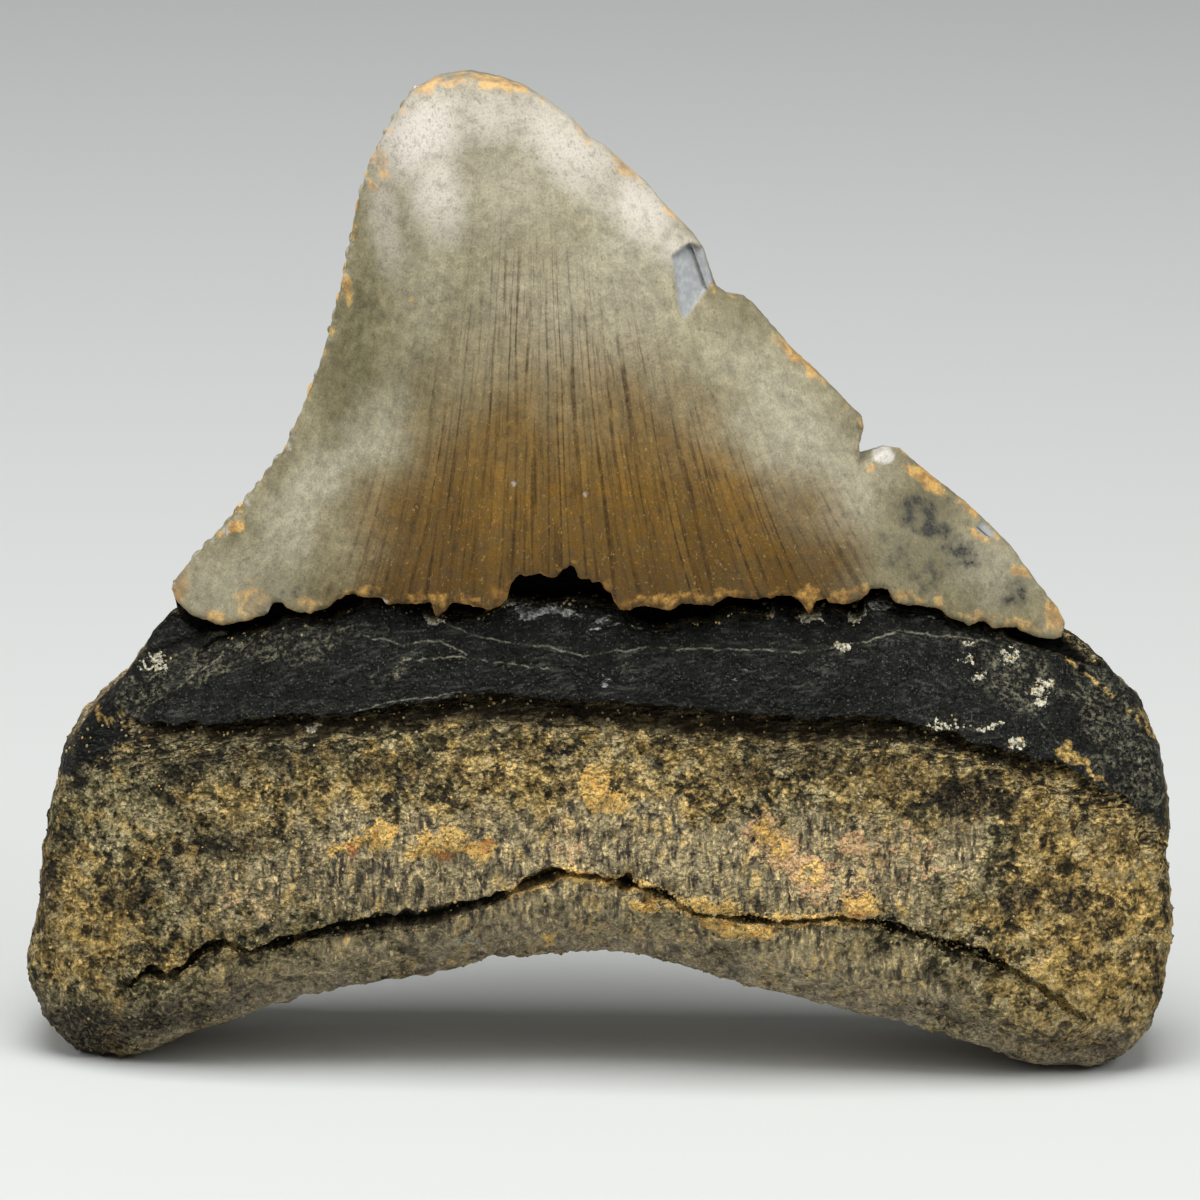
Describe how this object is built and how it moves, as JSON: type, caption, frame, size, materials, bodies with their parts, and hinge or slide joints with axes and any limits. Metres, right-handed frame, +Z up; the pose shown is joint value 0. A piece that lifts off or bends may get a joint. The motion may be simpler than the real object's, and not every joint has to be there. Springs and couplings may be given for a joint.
{
  "type": "fossil megalodon tooth",
  "caption": "Broad triangular fossil shark tooth with a leaning blunt crown and a thick arched root that stands on its two worn lobe tips.",
  "frame": {"origin": "on the surface that the tooth stands on, below the middle of its width and thickness", "axes": "+X along the root, towards the longer, chipped cutting edge; +Y from the swollen inner face to the flatter outer face; +Z up to the crown's tip"},
  "size_m": [0.0606, 0.0142, 0.0519],
  "materials": {
    "fossil_tooth": "satin"
  },
  "bodies": {
    "root": {"tooth": "fossil_tooth"}
  },
  "joints": []
}
